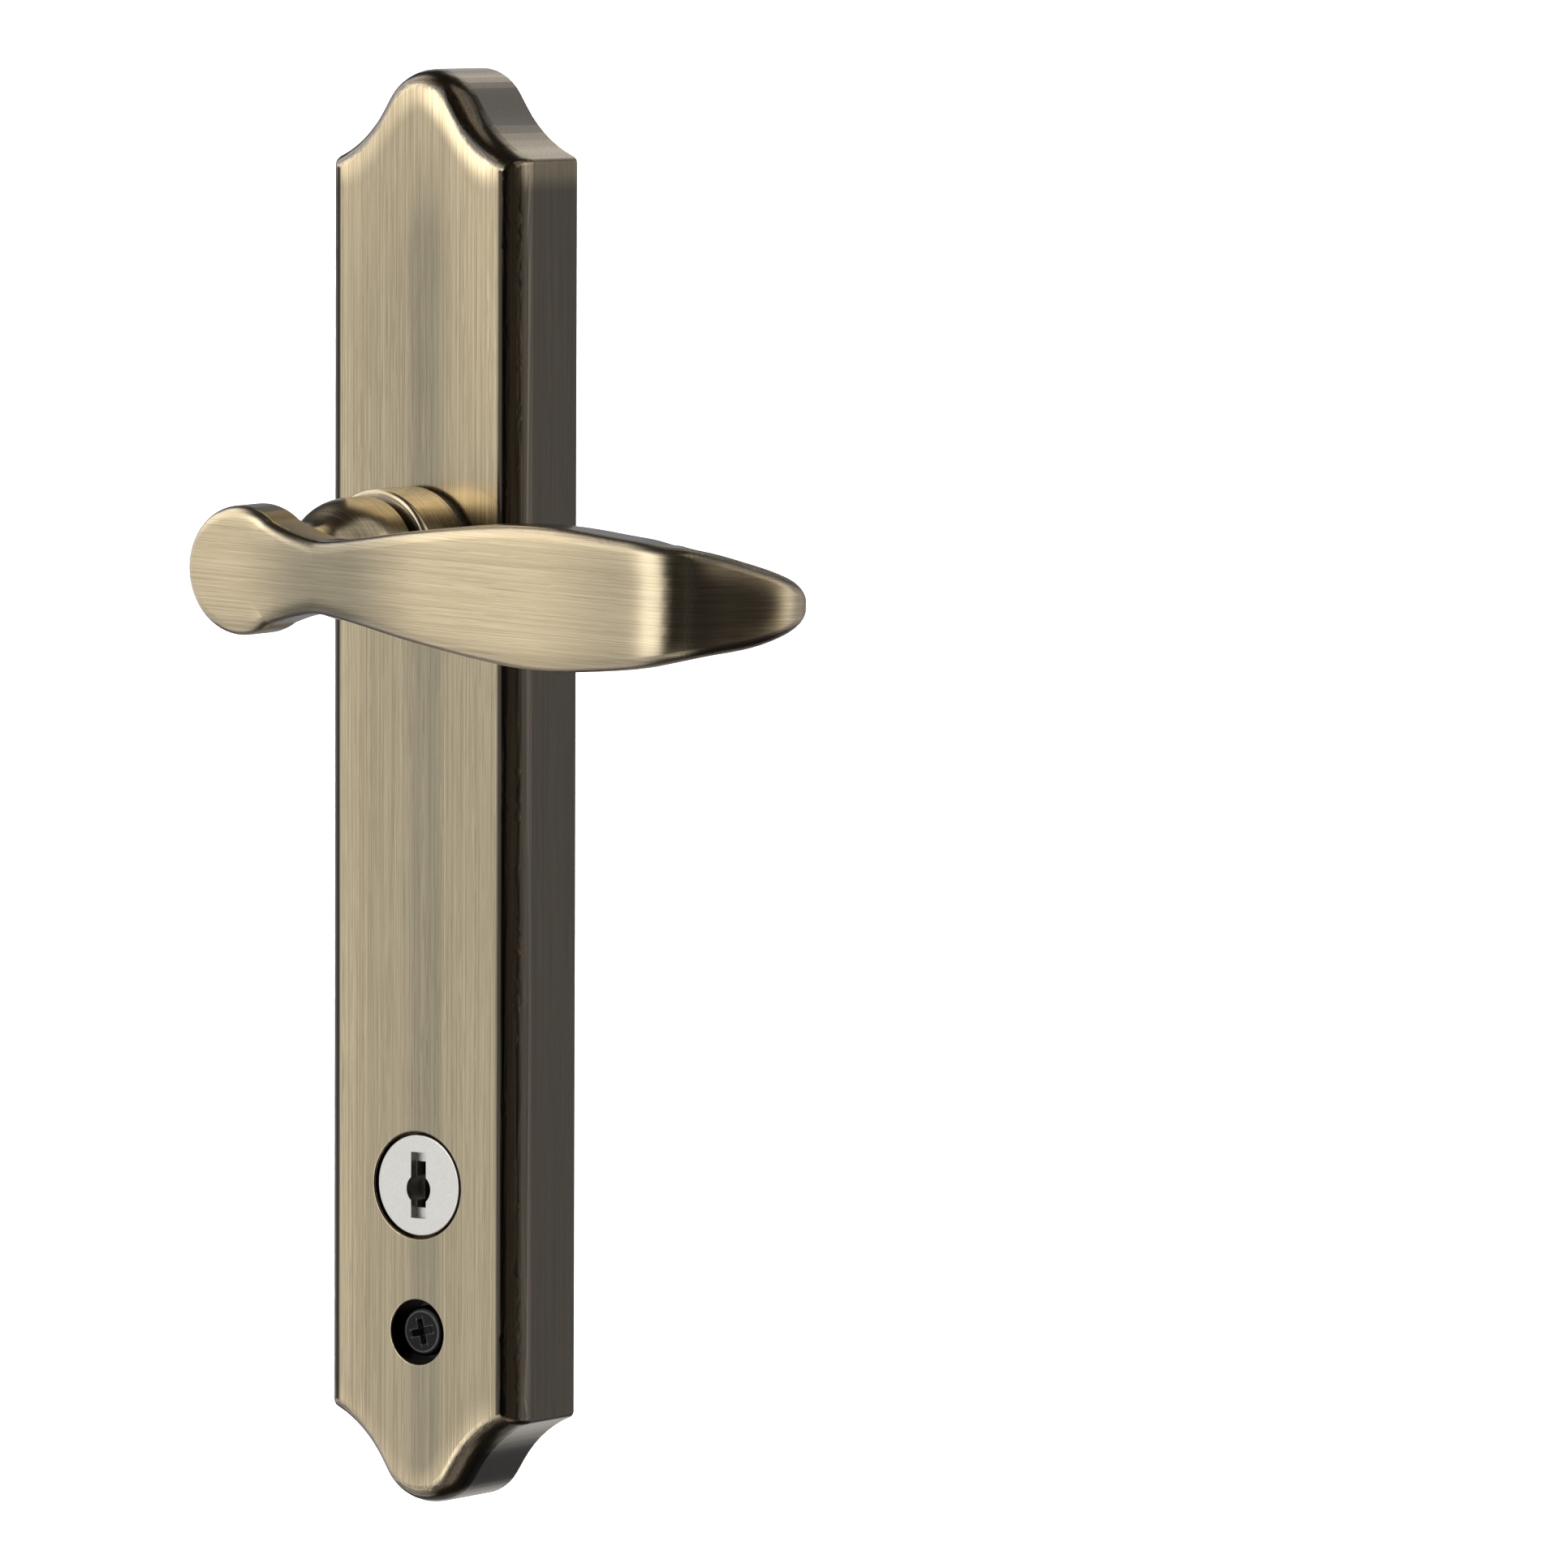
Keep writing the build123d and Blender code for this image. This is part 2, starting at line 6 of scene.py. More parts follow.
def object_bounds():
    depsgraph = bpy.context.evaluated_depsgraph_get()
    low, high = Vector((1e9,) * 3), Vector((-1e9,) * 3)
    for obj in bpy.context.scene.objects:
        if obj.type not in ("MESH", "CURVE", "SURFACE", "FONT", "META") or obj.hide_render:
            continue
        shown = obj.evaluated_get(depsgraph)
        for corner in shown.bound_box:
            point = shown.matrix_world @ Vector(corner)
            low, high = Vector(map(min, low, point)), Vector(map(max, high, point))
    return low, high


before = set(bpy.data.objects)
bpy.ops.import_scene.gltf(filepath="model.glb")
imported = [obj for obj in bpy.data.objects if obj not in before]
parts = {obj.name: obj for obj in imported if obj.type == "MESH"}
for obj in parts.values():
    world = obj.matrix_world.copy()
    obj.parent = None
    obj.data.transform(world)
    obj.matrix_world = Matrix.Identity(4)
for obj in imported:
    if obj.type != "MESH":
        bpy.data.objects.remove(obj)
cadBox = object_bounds()
print("loaded", len(parts), "CAD parts")

# Lengths in the finishes are in millimetres, everything else is in metres.
leverAxis = {"droop": 2.1, "headBackY": -51.4, "grooveY": -27.65, "collarY": -26.5}
cylinderAxis = {"z": -95.25, "faceY": -15.6}
screwAxis = {"z": -117.475, "turn": 14.0, "headR": 3.8}
plateShape = {"middleZ": -35.65, "frontY": -15.9, "innerY": -13.1, "innerX": 15.25, "endZ": 94.0}


class Signal:
    # an output of a node, used in sums like a number
    def __init__(self, finish, socket):
        self.finish = finish
        self.socket = socket

    def sum(self, operation, first, second=0.0):
        return self.finish.add("ShaderNodeMath", {"operation": operation}, {0: first, 1: second})

    def __add__(self, other):
        return self.sum("ADD", self, other)

    def __radd__(self, other):
        return self.sum("ADD", other, self)

    def __sub__(self, other):
        return self.sum("SUBTRACT", self, other)

    def __rsub__(self, other):
        return self.sum("SUBTRACT", other, self)

    def __mul__(self, other):
        return self.sum("MULTIPLY", self, other)

    def __rmul__(self, other):
        return self.sum("MULTIPLY", other, self)

    def __truediv__(self, other):
        return self.sum("DIVIDE", self, other)

    def __neg__(self):
        return self.sum("MULTIPLY", self, -1.0)

    def __pow__(self, other):
        return self.sum("POWER", self, other)

    def __abs__(self):
        return self.sum("ABSOLUTE", self)

    def above(self, other):
        return self.sum("MAXIMUM", self, other)

    def below(self, other):
        return self.sum("MINIMUM", self, other)

    def output(self, name):
        return Signal(self.finish, self.socket.node.outputs[name])


class Finish:
    # one material, built up from signals
    def __init__(self, name, tree=None):
        if tree is None:
            self.material = bpy.data.materials.new(name)
            self.material.use_nodes = True
            tree = self.material.node_tree
        self.tree = tree
        self.tree.nodes.clear()

    def add(self, kind, settings, sockets, output=0):
        node = self.tree.nodes.new(kind)
        for key, value in settings.items():
            if key == "stops":
                ramp = node.color_ramp
                while len(ramp.elements) < len(value):
                    ramp.elements.new(0.5)
                for element, (place, colour) in zip(ramp.elements, value):
                    element.position = place
                    element.color = (*colour, 1.0)
            else:
                setattr(node, key, value)
        for key, value in sockets.items():
            if isinstance(value, Signal):
                self.tree.links.new(value.socket, node.inputs[key])
            else:
                node.inputs[key].default_value = value
        return Signal(self, node.outputs[output])

    def place(self):
        # position on the part, in millimetres
        spot = self.add("ShaderNodeTexCoord", {}, {}, "Object")
        spot = self.add("ShaderNodeVectorMath", {"operation": "SCALE"}, {0: spot, "Scale": 1000.0})
        split = self.add("ShaderNodeSeparateXYZ", {}, {0: spot})
        return split, split.output("Y"), split.output("Z")

    def facing(self):
        # where the surface faces, before any bump
        normal = self.add("ShaderNodeNewGeometry", {}, {}, "True Normal")
        settings = {"vector_type": "NORMAL", "convert_from": "WORLD", "convert_to": "OBJECT"}
        turned = self.add("ShaderNodeVectorTransform", settings, {0: normal})
        split = self.add("ShaderNodeSeparateXYZ", {}, {0: turned})
        return split, split.output("Y"), split.output("Z")

    def noise(self, x, y, z, detail=2.0, rough=0.5):
        spot = self.add("ShaderNodeCombineXYZ", {}, {0: x, 1: y, 2: z})
        sockets = {"Vector": spot, "Scale": 1.0, "Detail": detail, "Roughness": rough}
        return self.add("ShaderNodeTexNoise", {}, sockets, 0)

    def brushed(self, along, first, second):
        # straight fine lines along a part, which fade in and out; first and second lie across them
        longLine = self.noise(first * 5.0, second * 5.0, along * 0.012, 3.0, 0.65)
        shortLine = self.noise(first * 6.1 + 8.0, second * 6.1, along * 0.02, 3.0, 0.65)
        fade = self.noise(first * 2.2, second * 2.2, along * 0.13, 2.0)
        return self.blend(self.step(fade, 0.36, 0.64), longLine, shortLine)

    def step(self, value, low, high, start=0.0, end=1.0):
        # goes smoothly from start to end as value goes from low to high
        sockets = {0: value, 1: low, 2: high, 3: start, 4: end}
        return self.add("ShaderNodeMapRange", {"interpolation_type": "SMOOTHSTEP"}, sockets)

    def window(self, value, low, high, soft):
        # one from low to high, with soft edges
        return self.step(value, low - soft, low + soft) * self.step(value, high - soft, high + soft, 1.0, 0.0)

    def hump(self, value, middle, half, soft):
        # one near middle, zero further away than half + soft
        return self.step(abs(value - middle), half, half + soft, 1.0, 0.0)

    def mix(self, mask, first, second, blend="MIX"):
        first, second = (c if isinstance(c, Signal) else (*c, 1.0) for c in (first, second))
        settings = {"data_type": "RGBA", "blend_type": blend}
        return self.add("ShaderNodeMix", settings, {0: mask, 6: first, 7: second}, 2)

    def blend(self, mask, first, second):
        # the same for two values
        return first + mask * (second - first)

    def bump(self, height, depth, strength=1.0):
        return self.add("ShaderNodeBump", {}, {"Height": height, "Distance": depth, "Strength": strength})

    def done(self, **sockets):
        named = {key.replace("_", " "): value for key, value in sockets.items()}
        for key, value in named.items():
            if isinstance(value, tuple):
                named[key] = (*value, 1.0)
        shader = self.add("ShaderNodeBsdfPrincipled", {}, named)
        self.close(shader)
        return self.material

    def close(self, shader):
        end = self.tree.nodes.new("ShaderNodeOutputMaterial")
        self.tree.links.new(shader.socket, end.inputs["Surface"])


# Camera at the photograph's angle
cameraSet = {
    "azimuth": 35.459, "elevation": 4.576, "roll": 0.243, "distance": 1.6832,
    "target": (0.06177, -0.008, -0.03209), "lens": 262.24, "sensor": 36.0,
}


def makeCamera(look):
    a, e, r = (math.radians(look[k]) for k in ("azimuth", "elevation", "roll"))
    back = Vector((math.sin(a) * math.cos(e), -math.cos(a) * math.cos(e), math.sin(e)))
    level = Vector((math.cos(a), math.sin(a), 0.0))
    upright = back.cross(level)
    right = level * math.cos(r) + upright * math.sin(r)
    up = upright * math.cos(r) - level * math.sin(r)
    lens = bpy.data.cameras.new("camera")
    lens.lens, lens.sensor_width, lens.clip_start, lens.clip_end = look["lens"], look["sensor"], 0.05, 50.0
    camera = bpy.data.objects.new("camera", lens)
    spot = Vector(look["target"]) + back * look["distance"]
    camera.matrix_world = Matrix.Translation(spot) @ Matrix((right, up, back)).transposed().to_4x4()
    bpy.context.scene.collection.objects.link(camera)
    bpy.context.scene.camera = camera


makeCamera(cameraSet)
bpy.context.scene.view_settings.view_transform = "Standard"
print("camera placed")

# Studio: every light is a soft window on the sphere round the object, in degrees
# turn 0 is straight in front, +90 is the lever's side and 180 is behind
studioSet = {
    "dim": 0.030,
    "softBox": {"turn": (-114, 8), "height": (-34, 60), "soft": (12, 16), "glow": 0.88},
    "hotEdge": {"turn": (-25, 7), "height": (-36, 56), "soft": (9, 12), "glow": 1.32},
    "canopy": {"turn": (-114, -2), "height": (17, 60), "soft": (9, 16), "glow": 0.62},
    "lowFront": {"turn": (-118, -30), "height": (-72, -38), "soft": (10, 10), "glow": 0.70},
    "side": {"turn": (48, 112), "height": (-40, 40), "soft": (14, 12), "glow": 0.055},
    "tipLight": {"turn": (111, 133), "height": (-30, 34), "soft": (9, 8), "glow": 1.50},
    "rightTop": {"turn": (86, 139), "height": (9, 74), "soft": (7, 8), "glow": 0.56},
    "lowRight": {"turn": (-30, 94), "height": (-74, -40), "soft": (14, 10), "glow": 0.55},
    "wall": {"turn": (137, 224), "height": (-34, 26), "soft": (6, 10), "glow": 0.40},
    "backTop": {"turn": (154, 208), "height": (25, 48), "soft": (10, 7), "glow": 0.62},
    "lowBack": {"turn": (188, 228), "height": (-60, -30), "soft": (8, 8), "glow": 0.14},
}
floorSet = {"gap": 0.045, "radius": 3.2, "curve": 0.8, "rise": 2.2,
            "colour": (0.93, 0.93, 0.93), "glow": 0.62}


def makeStudio(look):
    world = bpy.data.worlds.new("studio")
    world.use_nodes = True
    bpy.context.scene.world = world
    sky = Finish("studio", world.node_tree)
    way = sky.add("ShaderNodeTexCoord", {}, {}, "Generated")
    x = sky.add("ShaderNodeSeparateXYZ", {}, {0: way})
    y, z = x.output("Y"), x.output("Z")
    turn = x.sum("ARCTAN2", x, -y) * (180 / math.pi)
    around = turn.sum("FLOORED_MODULO", turn, 360.0)      # the same from 0 to 360
    height = x.sum("ARCSINE", z) * (180 / math.pi)
    light = look["dim"]
    for name, lamp in look.items():
        if name == "dim":
            continue
        (left, right), (low, high), (softTurn, softHeight) = lamp["turn"], lamp["height"], lamp["soft"]
        across = around if right > 180 else turn
        window = sky.window(across, left, right, softTurn) * sky.window(height, low, high, softHeight)
        light = window * lamp["glow"] + light
    glow = sky.add("ShaderNodeBackground", {}, {"Color": (1.0, 1.0, 1.0, 1.0), "Strength": light})
    end = sky.tree.nodes.new("ShaderNodeOutputWorld")
    sky.tree.links.new(glow.socket, end.inputs["Surface"])


def makeFloor(look):
    # a round sheet of pale paper that curves up at its rim, so that it lies behind the part in each view
    middle = (cadBox[0] + cadBox[1]) / 2
    low = cadBox[0].z - look["gap"]
    radius, curve, sides, steps = look["radius"], look["curve"], 96, 12
    profile = [(0.001, 0.0)]
    for n in range(steps + 1):
        angle = math.radians(90 * n / steps)
        profile.append((radius - curve * (1 - math.sin(angle)), curve * (1 - math.cos(angle))))
    profile.append((radius, look["rise"]))
    corners, faces = [], []
    for reach, height in profile:
        for n in range(sides):
            angle = math.radians(360 * n / sides)
            x, y = reach * math.cos(angle), reach * math.sin(angle)
            corners.append((middle.x + x, middle.y + y, low + height))
    for ring in range(len(profile) - 1):
        for n in range(sides):
            here, after = ring * sides + n, ring * sides + (n + 1) % sides
            faces.append((here, after, after + sides, here + sides))
    mesh = bpy.data.meshes.new("floor")
    mesh.from_pydata(corners, [], faces)
    for face in mesh.polygons:
        face.use_smooth = True
    floor = bpy.data.objects.new("floor", mesh)
    bpy.context.scene.collection.objects.link(floor)
    paper = Finish("paper")
    x, y, z = paper.place()
    fibre = paper.noise(x * 0.02, y * 0.02, z * 0.02, 4.0)
    tone = paper.mix(fibre, tuple(0.985 * c for c in look["colour"]), look["colour"])
    mesh.materials.append(paper.done(Base_Color=tone, Roughness=0.9, Emission_Color=(1.0, 1.0, 1.0),
                                     Emission_Strength=look["glow"]))
    floor.visible_glossy = False


makeStudio(studioSet)
makeFloor(floorSet)
print("studio and floor made")

# Antique brass: blackened, rubbed back on the faces, brushed and lacquered
brassSet = {
    "light": (0.72, 0.59, 0.380), "middle": (0.63, 0.51, 0.315),
    "grey": (0.305, 0.262, 0.174), "patinaAndShade": (0.050, 0.036, 0.021), "rough": 0.24, "roughGrain": 0.10,
    "lineDark": (0.70, 0.68, 0.64), "lineLight": (1.14, 1.14, 1.14), "coatRough": 0.03, "grain": 0.006,
}
plateBrassSet = {
    "bandAt": 2.0, "bandLeft": 12.0, "bandRight": 8.0, "reflectionBand": 1.25, "left": 0.72, "right": 0.36,
    "shoulderZ": 92.6, "crest": 11.6, "halfWidth": 14.3, "roll": 2.8, "rollDepth": 0.05,
    "crestHighlight": 0.8, "endHighlight": 0.28, "ledgeHighlight": 0.95, "moulding": (0.16, 0.112, 0.060),
    "black": (0.012, 0.010, 0.008), "creaseShade": 0.8, "boreR": 5.3, "castDepth": 0.015,
    "castDark": (0.30, 0.255, 0.175), "castLight": (0.43, 0.375, 0.27), "castPit": (0.16, 0.13, 0.09),
}
leverBrassSet = {
    "neckFrom": 6.0, "neckTo": 28.0, "neckSoft": 8.0, "neck": 0.86, "litMiddleAt": 44.0, "litMiddle": 18.0,
    "ends": 0.56, "head": 9.55, "roll": 5.0, "rollDepth": 0.033, "shank": 0.25,
    "turnedBack": 64.0, "tipEnd": 4.1, "tipRoll": 14.0, "tipRollDepth": 0.004, "crookShade": 0.85,
    "groove": (0.05, 0.04, 0.03), "patinaAndShade": (0.070, 0.048, 0.024), "lines": 0.68,
    "outline": ((3, 8.7), (7, 7.15), (14, 5.4), (24, 6.75), (36, 8.75), (50, 10.3), (58, 10.4), (71, 9.3),
                (80, 7.7), (84, 6.5), (88, 4.5)),
}


def brassTone(metal, grain, streak, shade, patinaAndShade, patinaAndShadeTone, lineDepth=1.0):
    # grain is fine lines, streak wide ones, shade the painted shade that greys the face, patina where it
    # stays dark, from patina and from painted shade
    look = brassSet
    tone = metal.mix(metal.step(streak, 0.36, 0.64), look["middle"], look["light"])
    tone = metal.mix(shade, tone, look["grey"])
    lines = metal.mix(metal.step(grain, 0.32, 0.66), look["lineDark"], look["lineLight"])
    tone = metal.mix(lineDepth, tone, lines, "MULTIPLY")
    dark = metal.mix(metal.step(grain, 0.3, 0.7), (0.6, 0.6, 0.6), (1.5, 1.5, 1.5))
    dark = metal.mix(1.0, patinaAndShadeTone, dark, "MULTIPLY")
    return metal.mix(patinaAndShade, tone, dark)


def plateBrass():
    look, plate = brassSet, plateBrassSet
    metal = Finish("antiqueBrassPlate")
    x, y, z = metal.place()
    nx, ny, nz = metal.facing()
    grain = metal.brushed(z, x, y)
    streak = metal.noise(x * 1.9 + 7.3, y * 1.9, z * 0.014, 3.0, 0.6)
    front = metal.step(-ny, 0.7, 0.98)
    fromMiddle = z - plateShape["middleZ"]
    # painted shade and highlight: a grey band down the middle is a painted reflection; greyer on the left and
    # lower down, lighter on the upper right and, through the roll, along the ends
    fromBand = x - plate["bandAt"]
    reflectionBand = metal.step(fromBand, -plate["bandLeft"], 0.0)
    reflectionBand = reflectionBand * metal.step(fromBand, 0.0, plate["bandRight"], 1.0, 0.0)
    reflectionBand = reflectionBand * (0.86 + 0.5 * (streak - 0.5)) * metal.step(z, 44.0, 66.0, plate["reflectionBand"], 0.55)
    left = metal.step(z, 34.0, 64.0, plate["left"], plate["left"] - 0.2)
    left = left - metal.step(x, -14.0, -8.0, 0.22, 0.0)
    right = metal.blend(metal.step(z, -30.0, 40.0), plate["left"], plate["right"])
    shade = metal.blend(metal.step(x, 3.0, 12.0), left, right)
    shade = shade.above(reflectionBand)
    across = (abs(x) / plate["halfWidth"]).below(1.0)
    outline = plate["shoulderZ"] + metal.step(across, 0.0, 1.0, plate["crest"], 0.0)
    slant = 1 - 1.44 * across * (1 - across)
    inside = (outline - abs(fromMiddle)) * slant
    roll = (plate["roll"] - inside).above(0.0) * metal.step(fromMiddle, -20.0, 20.0, 0.45, 1.0)
    # painted highlight: the grey is lifted where the face rolls over towards its rim
    shade = (shade * metal.step(roll, 0.0, 3.0, 1.0, 0.0) * front).below(1.0)
    # patina: brown on the moulding, near black on the flanks; lifted again on the crests, shoulder corners
    # and ledges as a painted highlight
    patinaAndShade = metal.step(-ny, 0.80, 0.99, 0.97, 0.0)
    crest = metal.step(abs(nz), 0.62, 0.9) * metal.step(-ny, 0.05, 0.4, 1.0, 0.0)
    ledge = metal.step(abs(x), 14.1, 14.8) * metal.step(nz, 0.5, 0.9)
    ledge = ledge * metal.step(-ny, 0.05, 0.4, 1.0, 0.0)
    endCorner = metal.step(fromMiddle, 89.5, 93.4) * metal.step(abs(nx), 0.8, 0.98) * plate["endHighlight"]
    # worn is a painted highlight on the crests, shoulder corners and ledges
    worn = (crest * plate["crestHighlight"]).above(endCorner).above(ledge * plate["ledgeHighlight"])
    patinaAndShade = patinaAndShade * (1 - worn)
    moulded = metal.step(-ny, 0.22, 0.42) * metal.step(-ny, 0.62, 0.88, 1.0, 0.0)
    patinaAndShadeTone = metal.mix(moulded, look["patinaAndShade"], plate["moulding"])
    # painted shade: near black where the moulding meets the flank and along the front's long edges
    creaseShade = metal.step(-ny, 0.05, 0.15) * metal.step(-ny, 0.3, 0.45, 1.0, 0.0)
    creaseShade = creaseShade * metal.step(abs(nz), 0.1, 0.3, 1.0, 0.0)
    patinaAndShadeTone = metal.mix(creaseShade * plate["creaseShade"], patinaAndShadeTone, plate["black"])
    corner = metal.step(abs(x), 14.5, 15.0) * metal.step(-ny, 0.70, 0.86)
    corner = corner * metal.step(abs(nz), 0.1, 0.3, 1.0, 0.0)
    patinaAndShadeTone = metal.mix(corner, patinaAndShadeTone, plate["black"])
    patinaAndShade = patinaAndShade.above(corner * 0.97)
    # painted shade: near black within boreR of the face screw's axis, behind the front
    radius = (x * x + (z - screwAxis["z"]) ** 2.0) ** 0.5
    boreShade = metal.step(radius, plate["boreR"], plate["boreR"] + 0.2, 1.0, 0.0)
    boreShade = boreShade * metal.step(y, plateShape["frontY"] + 0.15, plateShape["frontY"] + 0.5)
    patinaAndShadeTone = metal.mix(boreShade, patinaAndShadeTone, plate["black"])
    patinaAndShade = patinaAndShade.above(boreShade)
    tone = brassTone(metal, grain, streak, shade, patinaAndShade, patinaAndShadeTone)
    rough = look["rough"] + (grain - 0.5) * look["roughGrain"]
    height = (grain + streak * 0.5) * look["grain"] - roll * roll * plate["rollDepth"] * front
    # raw casting inside the hollow
    deep = metal.step(y, plateShape["innerY"] - 0.15, plateShape["innerY"] - 0.05)
    within = metal.step(abs(x), plateShape["innerX"] - 0.1, plateShape["innerX"], 1.0, 0.0)
    endFace = metal.step(abs(fromMiddle), plateShape["endZ"], plateShape["endZ"] + 0.5)
    outward = metal.step(nz * fromMiddle / 100.0, 0.0, 0.05)
    raw = deep * within * (1 - endFace * outward) * (1 - boreShade)
    cloud = metal.noise(x * 0.22, y * 0.22, z * 0.22, 5.0, 0.6)
    pits = metal.noise(x * 3.1, y * 3.1, z * 3.1, 3.0, 0.6)
    rawTone = metal.mix(metal.step(cloud, 0.35, 0.65), plate["castDark"], plate["castLight"])
    rawTone = metal.mix(metal.step(pits, 0.3, 0.5, 0.5, 0.0), rawTone, plate["castPit"])
    tone = metal.mix(raw, tone, rawTone)
    rough = metal.blend(raw, rough, 0.5 + (pits - 0.5) * 0.2)
    height = metal.blend(raw, height, pits * plate["castDepth"])
    coat = (1 - raw * 0.9) * (1 - corner * 0.8) * (1 - boreShade * 0.8) * (1 - creaseShade * 0.7)
    return metal.done(Base_Color=tone, Metallic=1.0, Roughness=rough, Coat_Weight=coat,
                      Coat_Roughness=look["coatRough"], Normal=metal.bump(height, 0.001))


def leverBrass():
    look, lever = brassSet, leverBrassSet
    metal = Finish("antiqueBrassLever")
    x, y, z = metal.place()
    nx, ny, nz = metal.facing()
    droop = math.radians(leverAxis["droop"])
    along = x * math.cos(droop) - z * math.sin(droop)
    across = x * math.sin(droop) + z * math.cos(droop)
    flatGrain = metal.brushed(along * 1.4, across, y * 0.02)
    edgeGrain = metal.brushed(along * 1.4, y, across * 0.1)
    grain = metal.blend(metal.step(abs(nz), 0.5, 0.85), flatGrain, edgeGrain)
    streak = metal.noise(along * 0.022, y * 0.03, across * 2.0 + 5.1, 3.0, 0.6)
    # turned marks round the shank and collar
    onShank = metal.step(y, leverAxis["headBackY"] - 0.6, leverAxis["headBackY"] + 0.4)
    onShank = onShank * metal.step(along, 9.6, 10.6, 1.0, 0.0)
    ring = metal.noise(y * 4.6, x * 0.2, z * 0.2, 3.0, 0.6)
    grain = metal.blend(onShank, grain, ring)
    # the front rolls over softly towards its outline and towards the tip
    stops = [(run / 90, (half / 12,) * 3) for run, half in lever["outline"]]
    half = metal.add("ShaderNodeValToRGB", {"stops": stops}, {0: along / 90}) * 12
    inHead = lever["head"] - (x * x + z * z) ** 0.5
    inside = inHead.above(half - abs(across))
    roll = (lever["roll"] - inside).above(0.0)
    back = math.radians(lever["turnedBack"])
    fromTip = lever["tipEnd"] - (x * math.cos(back) + y * math.sin(back))
    tipRoll = (lever["tipRoll"] - fromTip).above(0.0)
    height = (grain + streak * 0.5) * look["grain"]
    rolled = roll * roll * lever["rollDepth"] + tipRoll * tipRoll * lever["tipRollDepth"]
    height = height - rolled * (1 - onShank)
    front = metal.step(-ny, 0.6, 0.95)
    # painted shade on the neck and towards the paddle's ends, a painted highlight in the paddle's middle
    neck = metal.window(along, lever["neckFrom"], lever["neckTo"], lever["neckSoft"])
    litMiddle = metal.hump(along, lever["litMiddleAt"], 8.0, lever["litMiddle"])
    ends = (1 - litMiddle) * lever["ends"] * metal.step(along, 40.0, 60.0, 0.25, 1.0)
    shade = (neck * lever["neck"] + ends) * front
    # patina stays on the edges and the back; painted shade over the returned end, fading to a painted
    # highlight at the tip
    sideways = metal.step(ny, -0.34, -0.05) * metal.step(abs(nz), 0.2, 0.5)
    sideways = sideways * metal.step(along, 40.0, 70.0, 0.96, 1.0)
    returnShade = metal.step(nx, 0.55, 0.85) * metal.step(fromTip, 0.5, 7.0, 0.0, 0.78)
    patinaAndShade = sideways.above(returnShade).above(metal.step(ny, -0.1, 0.4))
    crookShade = metal.window(along, 7.5, 22.0, 3.5)          # painted shade where the neck draws in
    crookShade = crookShade * metal.step(inside, 0.1, 2.4, 1.0, 0.0)
    patinaAndShade = metal.blend(onShank, patinaAndShade.above(crookShade * lever["crookShade"]), lever["shank"])
    collar = metal.window(y, leverAxis["collarY"], leverAxis["collarY"] + 8.0, 0.3) * onShank
    tone = brassTone(metal, grain, streak, shade, patinaAndShade * (1 - collar * 0.8),
                     lever["patinaAndShade"], lever["lines"])
    groove = metal.hump(y, leverAxis["grooveY"], 1.0, 0.3) * onShank          # painted shade in the turned groove
    tone = metal.mix(groove * 0.85, tone, lever["groove"])
    rough = look["rough"] + (grain - 0.5) * look["roughGrain"]
    coat = 1 - sideways * metal.step(along, 30.0, 60.0, 0.97, 0.75)
    return metal.done(Base_Color=tone, Metallic=1.0, Roughness=rough, Coat_Weight=coat,
                      Coat_Roughness=look["coatRough"], Normal=metal.bump(height, 0.001))


nylonSet = {"colour": (0.018, 0.018, 0.019), "worn": (0.045, 0.045, 0.046), "rough": 0.42, "depth": 0.00002}


def blackNylon():
    look = nylonSet
    plastic = Finish("blackNylon")
    x, y, z = plastic.place()
    fine = plastic.noise(x * 6.0, y * 6.0, z * 6.0, 3.0, 0.6)
    wide = plastic.noise(x * 0.7, y * 0.7, z * 0.7, 3.0)
    tone = plastic.mix(plastic.step(wide, 0.4, 0.7), look["colour"], look["worn"])
    return plastic.done(Base_Color=tone, Roughness=look["rough"] + (fine - 0.5) * 0.25,
                        Normal=plastic.bump(fine, look["depth"]))


zincSet = {"light": (0.66, 0.67, 0.68), "dull": (0.47, 0.475, 0.47), "tint": (0.60, 0.57, 0.46),
           "rough": 0.36, "depth": 0.000012}


def zincSteel():
    look = zincSet
    metal = Finish("zincPlatedSteel")
    x, y, z = metal.place()
    cloud = metal.noise(x * 0.35, y * 0.35, z * 0.35, 4.0, 0.6)
    tintCloud = metal.noise(x * 0.16 + 4, y * 0.16, z * 0.16, 3.0)
    rolled = metal.noise(x * 5.0, y * 2.0, z * 0.25, 3.0, 0.6)
    tone = metal.mix(metal.step(cloud, 0.38, 0.62), look["dull"], look["light"])
    tone = metal.mix(metal.step(tintCloud, 0.5, 0.7) * 0.6, tone, look["tint"])
    tone = metal.mix(metal.step(rolled, 0.35, 0.5, 0.3, 0.0), tone, (0.3, 0.3, 0.3))
    return metal.done(Base_Color=tone, Metallic=1.0, Roughness=look["rough"] + (cloud - 0.5) * 0.3,
                      Normal=metal.bump(rolled, look["depth"]))


springSet = {"colour": (0.24, 0.235, 0.23), "blue": (0.15, 0.16, 0.19), "rust": (0.25, 0.16, 0.09),
             "rough": 0.3, "depth": 0.00001}


